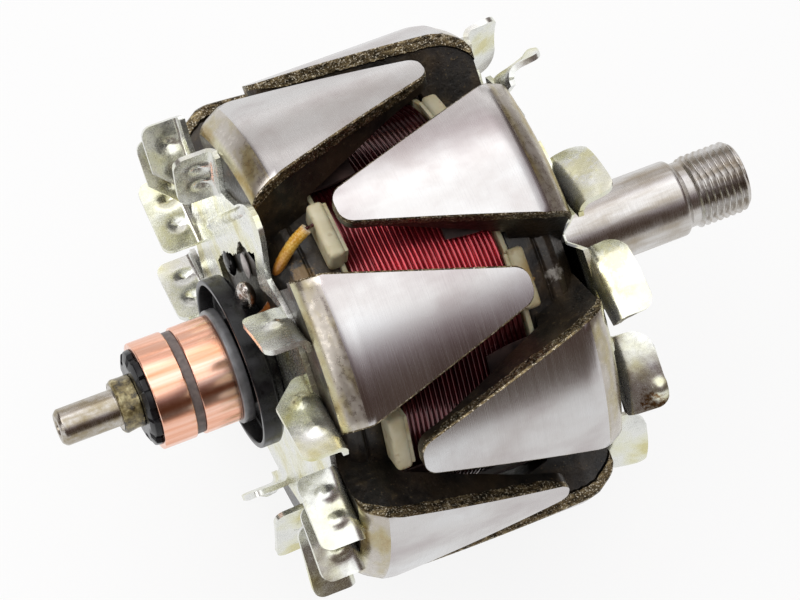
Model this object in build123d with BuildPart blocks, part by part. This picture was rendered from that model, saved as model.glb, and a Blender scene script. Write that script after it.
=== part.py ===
# Claw-pole alternator rotor, in millimetres.
# The shaft lies along X and its drive end points to +X. The origin is the middle of the
# drive end bearing seat, and +Z runs through the middle of one drive end claw.
# Axial places are measured along X, and angles about X grow from +Z towards -Y.
import os
from math import cos, radians, sin

from build123d import *

# Driving dimensions of the claw poles
claw_radius = 53.75
pole_half_length = 29.4
valley_radius = 39.5
core_radius = 25.0
claw_count = 6
claw_pitch = 360 / claw_count
claw_base_half_width = 16.1
claw_tip_half_width = 3.6
claw_tip_thickness = 3.0
claw_tip_rounding = 2.0
claw_tip_setback = 13.9
claw_side_draft = 5.0
claw_overrun = 4.0
claw_foot_rise = 5.0
claw_root_rise = 3.5
claw_shoulder_length = 5.8
claw_bevel_length = 1.7
claw_bevel_depth = 2.55
claw_base_depth = 4.95
disc_thickness = 12.4
valley_bevel_length = 3.4
valley_bevel_depth = 5.5

# Shaft
pole_seat_radius = 9.0
journal_radius = 8.5
thread_radius = 8.0
undercut_radius = 7.3
ring_seat_radius = 5.0
stub_radius = 4.0
bearing_width = 15.0
journal_length = 32.9
undercut_length = 2.6
thread_length = 12.5
thread_chamfer = 1.2
thread_runout = 0.4
stub_length = 12.8
tip_chamfer = 0.8
centre_hole_radius = 2.0
centre_hole_depth = 5.0

# Fits
press_gap = 0.03
seat_gap = 0.1

# Winding and its bobbin
bobbin_wall = 1.1
bobbin_flange_rise = 1.1
flange_thickness = 1.0
winding_rise = 0.5
ring_tab_height = 6.7
drive_tab_height = 2.9
tab_width = 13.0
tab_overhang = 2.2
tab_rounding = 1.5
shield_thickness = 0.4
petal_gap = 1.0
petal_thickness = 0.6
petal_length = 12.0
petal_half_angle = 13.5

# Fans
fan_sheet = 1.3
fan_blade_height = 8.8
blade_corner_radius = 2.5
ring_fan_hub_gap = 0.4
ring_fan_plate_drop = 0.5
ring_fan_lobe_drop = 3.75
ring_fan_lobe_width = 11.0
ring_fan_lobe_angle = -7.5
ring_blade_cut = 6.0
drive_fan_standoff = 1.8
drive_fan_plate_rise = 1.5
drive_blade_root_drop = 14.3
drive_blade_tip_drop = 4.45
drive_blade_root_skew = 10.2
drive_blade_tip_skew = 8.2
fan_notch_drop = 12.0
fan_notch_bottom = 1.6
fan_notch_mouth = 8.0

# Slip rings and their insulation
ring_radius = 11.7
band_radius = 11.2
end_band_radius = 12.5
moulding_radius = 9.4
front_flange_radius = 10.6
outer_ring_width = 7.3
band_width = 2.0
inner_ring_width = 8.1
end_band_width = 2.4
end_band_gap = 4.2
front_flange_width = 2.0
collar_length = 4.5
collar_radius = 6.1
collar_lip = 0.6
cup_radius = 18.7
cup_wall = 1.2
cup_depth = 4.8
cup_floor_thickness = 1.4
hub_radius = 12.8
hub_length = 3.6

# Leads
sleeve_radius = 1.3
sleeve_gap = 0.3
wire_radius = 0.4
lead_slot_width = 3.2
lead_slot_depth = 4.6
lead_slot_overlap = 3.0
lead_window_lap = 0.4
lead_window_length = 14.6
lead_window_width = 8.0
lead_start_gap = 1.8
lead_start_drop = 0.3
lead_start_swing = 1.5
lead_bend_gap = 4.8
lead_bend_rise = 4.0
lead_bend_swing = 0.8
lead_entry_drop = 1.5
lead_entry_lift = 0.8
lead_run_drop = 8.5
lead_run_end = 11.2
lead_climb_rise = 5.4
lead_climb_lift = 0.2
lead_end_rise = 3.8
lead_end_lift = 1.5
wire_start_gap = 0.02
wire_start_swing = 2.2
wire_start_drop = 1.1
wire_bend_gap = 0.7
wire_bend_swing = 2.0
wire_bend_drop = 1.0
wire_end_gap = 1.2
wire_end_swing = 1.7
wire_end_drop = 0.5
solder_radius = 2.0
solder_rise = 2.2
solder_height = 0.8

# Places of the poles, from the middle of the bearing seat
drive_fan_depth = drive_fan_standoff + fan_sheet
claw_mid = -(pole_half_length + drive_fan_depth + bearing_width / 2)
disc_inner_face = pole_half_length - disc_thickness
claw_tip_reach = pole_half_length - claw_tip_setback
claw_shoulder = pole_half_length - claw_shoulder_length
claw_root_radius = valley_radius + claw_root_rise
claw_plan_foot = core_radius + claw_foot_rise
claw_bevel_radius = claw_radius - claw_bevel_depth
claw_base_radius = claw_radius - claw_base_depth
valley_bevel_start = pole_half_length - valley_bevel_length
valley_bevel_radius = valley_radius - valley_bevel_depth

# Places along the shaft
journal_start = claw_mid + pole_half_length + drive_fan_depth
journal_end = journal_start + journal_length
thread_start = journal_end + undercut_length
shaft_drive_tip = thread_start + thread_length
ring_seat_start = claw_mid - pole_half_length - hub_length
cup_back = ring_seat_start
cup_floor = cup_back - cup_floor_thickness
cup_rim = cup_back - cup_depth
end_band_end = cup_back - end_band_gap
inner_ring_end = end_band_end - end_band_width
inner_ring_start = inner_ring_end - inner_ring_width
band_start = inner_ring_start - band_width
outer_ring_start = band_start - outer_ring_width
moulding_tip = outer_ring_start - front_flange_width
stub_start = moulding_tip - collar_length
shaft_ring_tip = stub_start - stub_length

# Places of the winding, the shields and the fans
bobbin_inner_radius = core_radius + seat_gap
winding_radius = valley_radius + winding_rise
flange_outer_radius = valley_radius + bobbin_flange_rise
flange_outer_face = disc_inner_face - shield_thickness
tab_inner_radius = valley_radius + seat_gap
tab_outer_radius = tab_inner_radius + ring_tab_height
tab_outer_face = disc_inner_face + tab_overhang
washer_radius = valley_radius - seat_gap
petal_inner_radius = winding_radius + petal_gap
petal_reach = disc_inner_face - petal_length
ring_fan_hub_radius = hub_radius + ring_fan_hub_gap
ring_fan_plate_radius = valley_radius - ring_fan_plate_drop
ring_fan_lobe_radius = claw_radius - ring_fan_lobe_drop
drive_fan_hub_radius = pole_seat_radius + seat_gap
drive_fan_plate_radius = valley_radius + drive_fan_plate_rise
drive_blade_root = claw_radius - drive_blade_root_drop
drive_blade_tip = claw_radius - drive_blade_tip_drop
fan_notch_radius = valley_radius - fan_notch_drop
lead_window_inner = hub_radius - lead_window_lap
lead_window_outer = lead_window_inner + lead_window_length
solder_place = hub_radius + solder_rise

os.makedirs("parts", exist_ok=True)


def place(x, radius, angle):
    """A point at axial place x, at a radius and an angle from +Z towards -Y."""
    return (x, -radius * sin(radians(angle)), radius * cos(radians(angle)))


def turned(points):
    """A solid turned about the shaft axis from an outline of (x, radius) points."""
    with BuildPart() as turning:
        with BuildSketch(Plane.XZ):
            with BuildLine():
                Polyline(*points, close=True)
            make_face()
        revolve(axis=Axis.X)
    return turning.part


def ring_solid(start, end, inner_radius, outer_radius):
    """A plain ring about the shaft axis."""
    return turned(
        [(start, inner_radius), (end, inner_radius), (end, outer_radius), (start, outer_radius)]
    )


def blade_solid(inner, outer, root, tip, cut=0.0):
    """One fan blade: a sheet standing along X on the line between two plan points.

    The inner corner of its tip is cut off slantwise by the length given as cut.
    """
    start = Vector(*place(root, *inner))
    finish = Vector(*place(root, *outer))
    along = finish - start
    length = along.length
    rise = tip - root
    height = abs(rise)
    inset = max(cut, blade_corner_radius)
    blade_plane = Plane(
        origin=start, x_dir=along.normalized(), z_dir=along.cross(Vector(rise, 0, 0)).normalized()
    )
    with BuildPart() as blade:
        with BuildSketch(blade_plane) as outline:
            with BuildLine():
                Polyline(
                    (0, 0),
                    (length, 0),
                    (length, height - blade_corner_radius),
                    (length - blade_corner_radius, height),
                    (inset, height),
                    (0, height - inset),
                    close=True,
                )
            make_face()
        extrude(amount=fan_sheet / 2, both=True)
    return blade.part


# The drive end claws, as one claw that points to -X, repeated about the shaft
with BuildPart() as claw:
    with BuildSketch(Plane.XY.offset(claw_radius)) as claw_plan:
        with BuildLine():
            Polyline(
                (claw_mid - claw_tip_reach, -claw_tip_half_width),
                (claw_mid + claw_shoulder, -claw_base_half_width),
                (claw_mid + pole_half_length + claw_overrun, -claw_base_half_width),
                (claw_mid + pole_half_length + claw_overrun, claw_base_half_width),
                (claw_mid + claw_shoulder, claw_base_half_width),
                (claw_mid - claw_tip_reach, claw_tip_half_width),
                close=True,
            )
        make_face()
        fillet(claw_plan.vertices().sort_by(Axis.X)[:2], claw_tip_rounding)
    extrude(amount=claw_plan_foot - claw_radius, taper=claw_side_draft)
    with BuildSketch(Plane.XZ) as claw_side:
        with BuildLine():
            Polyline(
                (claw_mid - claw_tip_reach, claw_radius - claw_tip_thickness),
                (claw_mid - claw_tip_reach, claw_radius),
                (claw_mid + claw_shoulder, claw_radius),
                (claw_mid + pole_half_length - claw_bevel_length, claw_bevel_radius),
                (claw_mid + pole_half_length, claw_base_radius),
                (claw_mid + pole_half_length, core_radius),
                (claw_mid + disc_inner_face, core_radius),
                (claw_mid + disc_inner_face, claw_root_radius),
                close=True,
            )
        make_face()
    revolve(axis=Axis.X, mode=Mode.INTERSECT)

# Drive end pole: disc, half of the core under the winding, and six claws
with BuildPart() as drive_end_pole:
    with BuildSketch(Plane.XZ):
        with BuildLine():
            Polyline(
                (claw_mid, pole_seat_radius + press_gap),
                (claw_mid + pole_half_length, pole_seat_radius + press_gap),
                (claw_mid + pole_half_length, valley_bevel_radius),
                (claw_mid + valley_bevel_start, valley_radius),
                (claw_mid + disc_inner_face, valley_radius),
                (claw_mid + disc_inner_face, core_radius),
                (claw_mid, core_radius),
                close=True,
            )
        make_face()
    revolve(axis=Axis.X)
    for number in range(claw_count):
        add(claw.part.rotate(Axis.X, number * claw_pitch))
drive_end_pole.part.label = "drive_end_pole"
export_step(drive_end_pole.part, "parts/drive_end_pole.step")

# Slip ring end pole: the same forging turned round, half a pitch on, with two lead slots
with BuildPart() as slip_ring_end_pole:
    add(drive_end_pole.part.mirror(Plane.YZ.offset(claw_mid)).rotate(Axis.X, claw_pitch / 2))
    slot_bottom = hub_radius - lead_slot_overlap
    slot_middle = (slot_bottom + claw_root_radius) / 2
    slot_length = claw_root_radius - slot_bottom
    for side in (1, -1):
        with Locations((claw_mid - pole_half_length, 0, side * slot_middle)):
            Box(2 * lead_slot_depth, lead_slot_width, slot_length, mode=Mode.SUBTRACT)
slip_ring_end_pole.part.label = "slip_ring_end_pole"
export_step(slip_ring_end_pole.part, "parts/slip_ring_end_pole.step")

# Shaft, with the threaded end as a plain cylinder of the thread's outer radius
with BuildPart() as shaft:
    with BuildSketch(Plane.XZ):
        with BuildLine():
            Polyline(
                (shaft_ring_tip, 0),
                (shaft_ring_tip, stub_radius - tip_chamfer),
                (shaft_ring_tip + tip_chamfer, stub_radius),
                (stub_start, stub_radius),
                (stub_start, ring_seat_radius),
                (ring_seat_start, ring_seat_radius),
                (ring_seat_start, pole_seat_radius),
                (journal_start, pole_seat_radius),
                (journal_start, journal_radius),
                (journal_end, journal_radius),
                (journal_end + journal_radius - undercut_radius, undercut_radius),
                (thread_start - thread_runout, undercut_radius),
                (thread_start, thread_radius),
                (shaft_drive_tip - thread_chamfer, thread_radius),
                (shaft_drive_tip, thread_radius - thread_chamfer),
                (shaft_drive_tip, 0),
                close=True,
            )
        make_face()
    revolve(axis=Axis.X)
    for end_plane in (
        Plane((shaft_drive_tip, 0, 0), z_dir=(1, 0, 0)),
        Plane((shaft_ring_tip, 0, 0), z_dir=(-1, 0, 0)),
    ):
        with Locations(end_plane):
            CounterSinkHole(
                radius=centre_hole_radius / 2,
                counter_sink_radius=centre_hole_radius,
                depth=centre_hole_depth,
                counter_sink_angle=60,
            )
shaft.part.label = "shaft"
export_step(shaft.part, "parts/shaft.step")

# Bobbin: a tube with two flanges, and six tabs a side that hook over the valleys
with BuildPart() as bobbin:
    add(ring_solid(
        claw_mid - flange_outer_face,
        claw_mid + flange_outer_face,
        bobbin_inner_radius,
        bobbin_inner_radius + bobbin_wall,
    ))
    for side in (1, -1):
        outer_face = claw_mid + side * flange_outer_face
        add(ring_solid(
            outer_face - side * flange_thickness,
            outer_face,
            bobbin_inner_radius,
            flange_outer_radius,
        ))
        tab_start = claw_mid + side * (flange_outer_face - flange_thickness)
        tab_end = claw_mid + side * tab_outer_face
        phase = claw_pitch / 2 if side == 1 else 0
        with BuildPart(mode=Mode.PRIVATE) as tab:
            with BuildSketch(Plane.XY.offset(tab_inner_radius)) as tab_plan:
                with Locations(((tab_start + tab_end) / 2, 0)):
                    RectangleRounded(abs(tab_end - tab_start), tab_width, tab_rounding)
            extrude(amount=ring_tab_height if side == -1 else drive_tab_height)
        for number in range(claw_count):
            add(tab.part.rotate(Axis.X, number * claw_pitch + phase))
bobbin.part.label = "bobbin"
export_step(bobbin.part, "parts/bobbin.step")

# Field winding, between the bobbin's flanges
with BuildPart() as field_winding:
    winding_half = flange_outer_face - flange_thickness
    add(ring_solid(
        claw_mid - winding_half,
        claw_mid + winding_half,
        bobbin_inner_radius + bobbin_wall,
        winding_radius,
    ))
field_winding.part.label = "field_winding"
export_step(field_winding.part, "parts/field_winding.step")


def winding_shield(side, phase):
    """A thin insulating washer at one end of the bobbin, with a petal under each claw."""
    washer_inner = claw_mid + side * flange_outer_face
    washer_outer = washer_inner + side * shield_thickness
    petal_end = claw_mid + side * petal_reach
    with BuildPart() as shield:
        add(ring_solid(washer_inner, washer_outer, bobbin_inner_radius, washer_radius))
        with BuildPart(mode=Mode.PRIVATE) as petal:
            add(turned([
                (washer_inner, washer_radius - petal_gap),
                (washer_outer, washer_radius - petal_gap),
                (washer_outer, petal_inner_radius + petal_thickness),
                (petal_end, petal_inner_radius + petal_thickness),
                (petal_end, petal_inner_radius),
                (washer_inner, petal_inner_radius),
            ]))
            half = petal_inner_radius * sin(radians(petal_half_angle))
            with Locations((claw_mid, 0, petal_inner_radius)):
                Box(2 * pole_half_length, 2 * half, petal_inner_radius, mode=Mode.INTERSECT)
        for number in range(claw_count):
            add(petal.part.rotate(Axis.X, number * claw_pitch + phase))
    return shield.part


with BuildPart() as drive_end_shield:
    add(winding_shield(1, 0))
drive_end_shield.part.label = "drive_end_winding_shield"
export_step(drive_end_shield.part, "parts/drive_end_winding_shield.step")

with BuildPart() as slip_ring_end_shield:
    add(winding_shield(-1, claw_pitch / 2))
slip_ring_end_shield.part.label = "slip_ring_end_winding_shield"
export_step(slip_ring_end_shield.part, "parts/slip_ring_end_winding_shield.step")

# Drive end fan: a plate that stands off the pole on its hub, with twelve uneven blades
drive_blade_angles = (10, 39, 68, 110, 136, 163, 190, 218, 246, 272, 298, 329)
drive_plate_back = claw_mid + pole_half_length + drive_fan_standoff
drive_plate_front = drive_plate_back + fan_sheet
with BuildPart() as drive_end_fan:
    add(ring_solid(
        claw_mid + pole_half_length, drive_plate_front, drive_fan_hub_radius, hub_radius
    ))
    add(ring_solid(
        drive_plate_back, drive_plate_front, drive_fan_hub_radius, drive_fan_plate_radius
    ))
    following = drive_blade_angles[1:] + (drive_blade_angles[0] + 360,)
    mouth_radius = drive_fan_plate_radius + fan_sheet
    with BuildSketch(Plane.YZ.offset(drive_plate_back)):
        for angle, next_angle in zip(drive_blade_angles, following):
            gap_start = angle + drive_blade_tip_skew
            gap_end = next_angle - drive_blade_root_skew
            with Locations(Location((0, 0, 0), (0, 0, (gap_start + gap_end) / 2))):
                Polygon(
                    (-fan_notch_bottom / 2, fan_notch_radius),
                    (fan_notch_bottom / 2, fan_notch_radius),
                    (fan_notch_mouth / 2, mouth_radius),
                    (-fan_notch_mouth / 2, mouth_radius),
                    align=None,
                )
    extrude(amount=fan_sheet, mode=Mode.SUBTRACT)
    for angle in drive_blade_angles:
        add(blade_solid(
            (drive_blade_root, angle - drive_blade_root_skew),
            (drive_blade_tip, angle + drive_blade_tip_skew),
            drive_plate_back,
            drive_plate_back + fan_blade_height,
        ))
drive_end_fan.part.label = "drive_end_fan"
export_step(drive_end_fan.part, "parts/drive_end_fan.step")

# Slip ring end fan: a flat plate on the pole's face, with unevenly spaced blades.
# Each blade is given by its root's share of the claws' radius and its angle, the same for
# its tip, and whether the inner corner is cut off.
ring_blades = (
    (0.651, 12, 0.902, 25, False),
    (0.642, 36, 0.971, 50.5, True),
    (0.722, 67, 0.977, 77.5, False),
    (0.716, 82, 0.979, 92, False),
    (0.707, 98, 0.967, 110, False),
    (0.642, 128, 0.893, 143, False),
    (0.677, 153.6, 0.912, 169, False),
    (0.642, 192, 0.940, 206, False),
    (0.642, 225, 0.893, 236, False),
    (0.633, 256, 0.940, 262, False),
    (0.688, 276.5, 0.958, 284, True),
    (0.688, 292, 0.977, 297, True),
    (0.701, 319.3, 0.921, 325, False),
)
ring_plate_back = claw_mid - pole_half_length
ring_plate_front = ring_plate_back - fan_sheet
with BuildPart() as slip_ring_end_fan:
    with BuildSketch(Plane.YZ.offset(ring_plate_front)):
        Circle(ring_fan_plate_radius)
        with Locations(Location((0, 0, 0), (0, 0, ring_fan_lobe_angle))):
            Rectangle(
                ring_fan_lobe_width,
                ring_fan_lobe_radius,
                align=(Align.CENTER, Align.MIN),
            )
        Circle(ring_fan_hub_radius, mode=Mode.SUBTRACT)
    extrude(amount=fan_sheet)
    for root_share, root_angle, tip_share, tip_angle, is_cut in ring_blades:
        add(blade_solid(
            (root_share * claw_radius, root_angle),
            (tip_share * claw_radius, tip_angle),
            ring_plate_back,
            ring_plate_front - fan_blade_height,
            ring_blade_cut if is_cut else 0,
        ))
    for side in (1, -1):
        with Locations((ring_plate_back, 0, side * (lead_window_inner + lead_window_outer) / 2)):
            Box(
                4 * fan_sheet,
                lead_window_width,
                lead_window_outer - lead_window_inner,
                mode=Mode.SUBTRACT,
            )
slip_ring_end_fan.part.label = "slip_ring_end_fan"
export_step(slip_ring_end_fan.part, "parts/slip_ring_end_fan.step")

# Slip ring moulding: the black sleeve on the shaft, with a toothed flange at its tip
with BuildPart() as moulding:
    add(ring_solid(
        outer_ring_start, cup_back, ring_seat_radius + press_gap, moulding_radius
    ))
    add(ring_solid(
        moulding_tip, outer_ring_start, ring_seat_radius + press_gap, front_flange_radius
    ))
moulding.part.label = "slip_ring_moulding"
export_step(moulding.part, "parts/slip_ring_moulding.step")

ring_bore = moulding_radius + press_gap
with BuildPart() as outer_slip_ring:
    add(ring_solid(outer_ring_start, band_start, ring_bore, ring_radius))
outer_slip_ring.part.label = "outer_slip_ring"
export_step(outer_slip_ring.part, "parts/outer_slip_ring.step")

with BuildPart() as spacer_band:
    add(ring_solid(band_start, inner_ring_start, ring_bore, band_radius))
spacer_band.part.label = "slip_ring_spacer_band"
export_step(spacer_band.part, "parts/slip_ring_spacer_band.step")

with BuildPart() as inner_slip_ring:
    add(ring_solid(inner_ring_start, inner_ring_end, ring_bore, ring_radius))
inner_slip_ring.part.label = "inner_slip_ring"
export_step(inner_slip_ring.part, "parts/inner_slip_ring.step")

with BuildPart() as end_band:
    add(ring_solid(inner_ring_end, end_band_end, ring_bore, end_band_radius))
end_band.part.label = "slip_ring_end_band"
export_step(end_band.part, "parts/slip_ring_end_band.step")

# Insulator cup round the inner end of the rings, and the hub that carries it
with BuildPart() as insulator_cup:
    add(turned([
        (cup_back, moulding_radius + press_gap),
        (cup_back, cup_radius),
        (cup_rim, cup_radius),
        (cup_rim, cup_radius - cup_wall),
        (cup_floor, cup_radius - cup_wall),
        (cup_floor, moulding_radius + press_gap),
    ]))
insulator_cup.part.label = "insulator_cup"
export_step(insulator_cup.part, "parts/insulator_cup.step")

with BuildPart() as insulator_hub:
    add(ring_solid(
        cup_back, claw_mid - pole_half_length, pole_seat_radius + press_gap, hub_radius
    ))
insulator_hub.part.label = "insulator_hub"
export_step(insulator_hub.part, "parts/insulator_hub.step")

# Collar of set adhesive and metal at the outer end of the slip rings
with BuildPart() as end_collar:
    add(turned([
        (stub_start, ring_seat_radius + press_gap),
        (stub_start, collar_radius - collar_lip),
        (stub_start + collar_lip, collar_radius),
        (moulding_tip, collar_radius),
        (moulding_tip, ring_seat_radius + press_gap),
    ]))
end_collar.part.label = "end_collar"
export_step(end_collar.part, "parts/end_collar.step")


def lead_path(side):
    """The lead's way from the bobbin's tab, down the slot, to the hub."""
    face = claw_mid - pole_half_length
    lane = face + sleeve_radius + sleeve_gap
    tab_face = claw_mid - tab_outer_face
    lead_top = tab_outer_radius - lead_start_drop
    bend_radius = valley_radius + lead_bend_rise
    return [
        (tab_face - lead_start_gap, side * lead_start_swing, side * lead_top),
        (tab_face - lead_bend_gap, side * lead_bend_swing, side * bend_radius),
        (lane + lead_entry_lift, 0, side * (valley_radius - lead_entry_drop)),
        (lane, 0, side * (valley_radius - lead_run_drop)),
        (lane, 0, side * (hub_radius + lead_run_end)),
        (face - lead_climb_lift, 0, side * (hub_radius + lead_climb_rise)),
        (face - lead_end_lift, 0, side * (hub_radius + lead_end_rise)),
    ]


def wire_path(side):
    """The bare wire's way from the tab to the top of the sleeve."""
    tab_face = claw_mid - tab_outer_face
    steps = (
        (wire_start_gap, wire_start_swing, wire_start_drop),
        (wire_bend_gap, wire_bend_swing, wire_bend_drop),
        (wire_end_gap, wire_end_swing, wire_end_drop),
    )
    return [
        (tab_face - gap, side * swing, side * (tab_outer_radius - drop))
        for gap, swing, drop in steps
    ]


def tube_along(points, radius):
    """A round cord swept along a smooth line."""
    with BuildPart() as cord:
        with BuildLine() as route:
            Spline(*points)
        with BuildSketch(Plane(origin=route.line @ 0, z_dir=route.line % 0)):
            Circle(radius)
        sweep()
    return cord.part


# Woven lead sleeves, one for each slip ring, on opposite sides
for name, side in (("lead_sleeve_upper", 1), ("lead_sleeve_lower", -1)):
    with BuildPart() as lead_sleeve:
        add(tube_along(lead_path(side), sleeve_radius))
    lead_sleeve.part.label = name
    export_step(lead_sleeve.part, "parts/" + name + ".step")

# Wire ends between the bobbin's tabs and the sleeves
for name, side in (("lead_wire_upper", 1), ("lead_wire_lower", -1)):
    with BuildPart() as lead_wire:
        add(tube_along(wire_path(side), wire_radius))
    lead_wire.part.label = name
    export_step(lead_wire.part, "parts/" + name + ".step")

# Solder joints where the leads meet the hub
for name, side in (("solder_joint_upper", 1), ("solder_joint_lower", -1)):
    with BuildPart() as solder_joint:
        with Locations((cup_back + solder_height, 0, side * solder_place)):
            Sphere(solder_radius)
        with Locations((cup_back, 0, side * solder_place)):
            Box(
                4 * solder_radius,
                4 * solder_radius,
                4 * solder_radius,
                align=(Align.MAX, Align.CENTER, Align.CENTER),
                mode=Mode.SUBTRACT,
            )
    solder_joint.part.label = name
    export_step(solder_joint.part, "parts/" + name + ".step")
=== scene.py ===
"""Looks of the claw-pole alternator rotor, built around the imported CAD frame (metres)."""
import math
import random

import bmesh
import bpy
import numpy as np
from mathutils import Matrix, Vector


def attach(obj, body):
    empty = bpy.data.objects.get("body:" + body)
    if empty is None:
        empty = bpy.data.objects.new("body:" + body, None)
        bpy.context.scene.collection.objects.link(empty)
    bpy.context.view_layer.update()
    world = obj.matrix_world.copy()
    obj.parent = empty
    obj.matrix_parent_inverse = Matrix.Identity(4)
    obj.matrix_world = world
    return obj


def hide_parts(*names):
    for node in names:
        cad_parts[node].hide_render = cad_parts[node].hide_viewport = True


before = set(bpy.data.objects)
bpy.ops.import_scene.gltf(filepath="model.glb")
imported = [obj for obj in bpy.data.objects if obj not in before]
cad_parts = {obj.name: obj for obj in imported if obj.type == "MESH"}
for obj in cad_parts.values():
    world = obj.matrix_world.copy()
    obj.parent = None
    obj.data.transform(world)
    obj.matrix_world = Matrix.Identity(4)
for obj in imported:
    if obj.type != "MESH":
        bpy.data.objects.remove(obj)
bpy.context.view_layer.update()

BODY = "root"
MM = 0.001

# Sizes are in millimetres, as in the CAD model. A place s along the shaft is measured
# from MID, the middle of the claws. Angles run from +Z towards -Y.
MID = -40.0
CLAW_R = 53.75
POLE_HALF = 29.4
FACE = MID - POLE_HALF  # outer face of the slip ring end pole
CLAWS = 6
CLAW_PITCH = math.radians(60)
WINDING_R = 40.0
SEAT_R = 9.1  # bore of the pole and hub on the shaft's thick seat
CORNER_STEPS = 3


# ---- mesh helpers
def radial(angle):
    """Unit vector in the YZ plane, at an angle from +Z towards -Y."""
    return np.array([0.0, -math.sin(angle), math.cos(angle)])


def at(x, r, angle):
    """The point at an axial place, a radius and an angle in radians."""
    return np.array([x, 0, 0]) + radial(angle) * r


def add_object(name, data):
    """A new object in the scene."""
    made = bpy.data.objects.new(name, data)
    bpy.context.scene.collection.objects.link(made)
    return made


def grid_faces(rows, cols, loop_rows=False, loop_cols=False, start=0, flip=False):
    """Quads over a grid of rows by cols points."""
    faces = []
    for i in range(rows if loop_rows else rows - 1):
        for j in range(cols if loop_cols else cols - 1):
            here, beyond = start + i * cols, start + (i + 1) % rows * cols
            a, b, c, d = here + j, here + (j + 1) % cols, beyond + (j + 1) % cols, beyond + j
            faces.append((a, d, c, b) if flip else (a, b, c, d))
    return faces


class Build:
    """Collects several closed shells into one mesh."""

    def __init__(self):
        self.verts = []
        self.faces = []
        self.mats = []

    def add(self, verts, faces, mat=0):
        start = len(self.verts)
        self.verts.extend(np.asarray(verts, float))
        self.faces.extend(tuple(start + i for i in f) for f in faces)
        self.mats.extend(mat if isinstance(mat, list) else [mat] * len(faces))

    def turn(self, angle):
        """The collected shells turned about X, as a new Build."""
        v = np.array(self.verts)
        c, s = math.cos(angle), math.sin(angle)
        y = v[:, 1] * c - v[:, 2] * s
        z = v[:, 1] * s + v[:, 2] * c
        out = Build()
        out.add(np.stack([v[:, 0], y, z], 1), self.faces, self.mats)
        return out

    def merge(self, other):
        self.add(other.verts, other.faces, other.mats)

    def piece(self, name, node, looks, slot, angle=35):
        """One mesh piece on the rotor's body, which stands for a CAD node."""
        mesh = bpy.data.meshes.new(name)
        mesh.from_pydata([tuple(float(c) * MM for c in v) for v in self.verts], [], self.faces)
        for look in looks:
            mesh.materials.append(MAT[look])
        mesh.polygons.foreach_set("material_index", self.mats)
        mesh.update()
        mesh.shade_smooth()
        mesh.set_sharp_from_angle(angle=math.radians(angle))
        piece = add_object(name, mesh)
        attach(piece, BODY)
        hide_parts(node)


def round_corners(points, radius):
    """A closed outline with each corner replaced by a short curve."""
    out = []
    count = len(points)
    for i in range(count):
        p0 = np.array(points[i - 1], float)
        p1 = np.array(points[i], float)
        p2 = np.array(points[(i + 1) % count], float)
        r = radius[i] if isinstance(radius, list) else radius
        d0, d2 = np.linalg.norm(p0 - p1), np.linalg.norm(p2 - p1)
        cut = min(r, d0 * 0.45, d2 * 0.45)
        if cut < 1e-6:
            out.append(p1)
            continue
        a = p1 + (p0 - p1) / d0 * cut
        b = p1 + (p2 - p1) / d2 * cut
        for k in range(CORNER_STEPS + 1):
            t = k / CORNER_STEPS
            out.append((1 - t) ** 2 * a + 2 * t * (1 - t) * p1 + t * t * b)
    return out


def lathe(profile, segments, wobble=None):
    """Verts and faces of a closed (x, r) outline turned about X."""
    verts = []
    for k in range(segments):
        angle = 2 * math.pi * k / segments
        for x, r in profile:
            verts.append(at(x, r + (wobble(x, r, angle) if wobble else 0), angle))
    return verts, grid_faces(segments, len(profile), True, True)


def ring_piece(name, node, profile, look, segments, rounding, slot, wobble=None):
    """A turned ring or disc that stands for one CAD node."""
    build = Build()
    build.add(*lathe(round_corners(profile, rounding), segments, wobble))
    build.piece(name, node, [look], slot)


def plain_ring(name, node, x0, x1, r0, r1, *rest):
    """A ring of rectangular section between two axial places and two radii."""
    ring_piece(name, node, [(x0, r0), (x1, r0), (x1, r1), (x0, r1)], *rest)


def sheet_shell(grid, thickness, loop=False):
    """A closed shell of even thickness about a grid of mid-surface points (rows, cols, 3)."""
    g = np.asarray(grid, float)
    rows, cols = g.shape[:2]
    if loop:
        du = np.roll(g, -1, 0) - np.roll(g, 1, 0)
    else:
        du = np.gradient(g, axis=0)
    dv = np.gradient(g, axis=1)
    n = np.cross(du, dv)
    n /= np.linalg.norm(n, axis=2, keepdims=True) + 1e-12
    top = (g + n * thickness / 2).reshape(-1, 3)
    bottom = (g - n * thickness / 2).reshape(-1, 3)
    verts = np.concatenate([top, bottom])
    half = rows * cols
    faces = grid_faces(rows, cols, loop)
    faces += grid_faces(rows, cols, loop, False, half, True)
    for i in range(rows if loop else rows - 1):
        k = (i + 1) % rows
        a, b = i * cols, k * cols
        faces.append((a, b, half + b, half + a))
        a, b = i * cols + cols - 1, k * cols + cols - 1
        faces.append((a, half + a, half + b, b))
    if not loop:
        for j in range(cols - 1):
            faces.append((j, half + j, half + j + 1, j + 1))
            a = (rows - 1) * cols + j
            faces.append((a, a + 1, half + a + 1, half + a))
    return verts, faces


def tube(points, radius, sides, wobble=None):
    """A round tube with closed ends along a list of points."""
    pts = [np.array(p, float) for p in points]
    verts = []
    up = np.array([0.3, 0.8, 0.52])
    for i, p in enumerate(pts):
        d = pts[min(i + 1, len(pts) - 1)] - pts[max(i - 1, 0)]
        d /= np.linalg.norm(d)
        a = np.cross(d, up)
        a /= np.linalg.norm(a)
        b = np.cross(d, a)
        for k in range(sides):
            t = 2 * math.pi * k / sides
            rr = radius + (wobble(i, t) if wobble else 0)
            verts.append(p + (a * math.cos(t) + b * math.sin(t)) * rr)
    faces = grid_faces(len(pts), sides, False, True)
    faces.append(tuple(range(sides)))
    faces.append(tuple(reversed(range(len(verts) - sides, len(verts)))))
    return verts, faces


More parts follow.
